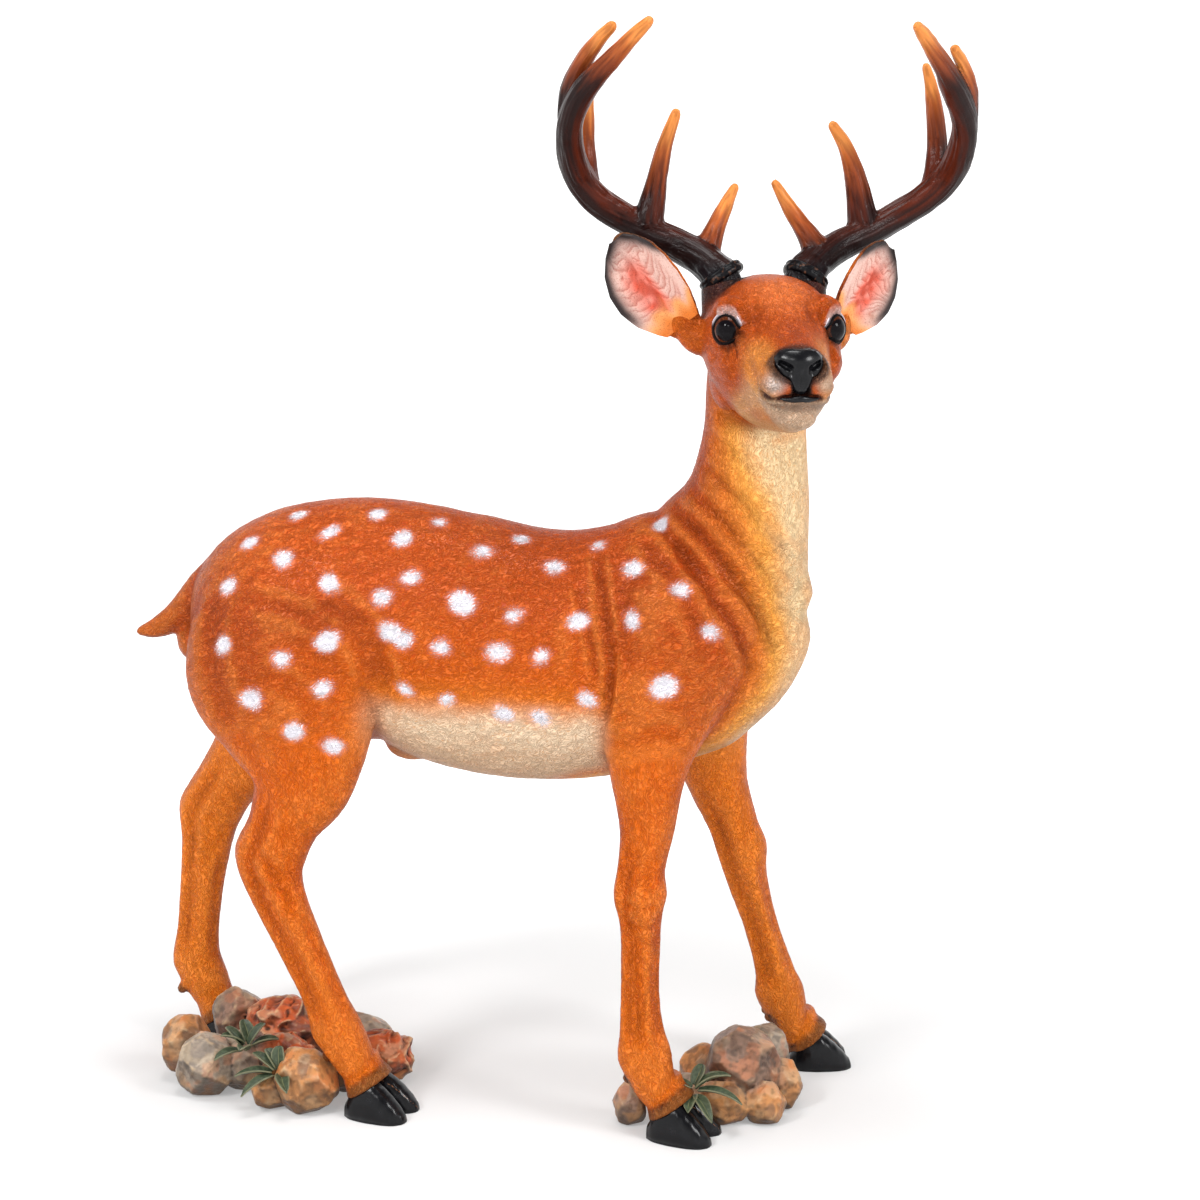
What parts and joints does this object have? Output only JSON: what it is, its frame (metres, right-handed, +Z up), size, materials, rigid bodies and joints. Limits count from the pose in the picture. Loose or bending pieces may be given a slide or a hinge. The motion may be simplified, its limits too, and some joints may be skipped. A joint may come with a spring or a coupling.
{
  "type": "deer garden statue",
  "caption": "Standing spotted stag in painted resin with antlers and its head turned, resting on its hooves and on two small bases of rocks and leaves.",
  "frame": {"origin": "on the ground, in the middle of the whole outline seen from above", "axes": "+Z up, +X the way the body stands, +Y the deer's left; its head is turned to -Y"},
  "size_m": [0.8138, 0.3868, 1.0222],
  "materials": {
    "coat": "satin paint on cast resin",
    "antler": "semi-gloss paint on cast resin",
    "eye": "high gloss",
    "rock": "satin paint on cast resin"
  },
  "bodies": {
    "root": {"deer": "coat", "right_antler": "antler", "left_antler": "antler", "right_eye": "eye", "left_eye": "eye", "rear_rock_base": "rock", "front_rock_base": "rock"}
  },
  "joints": []
}
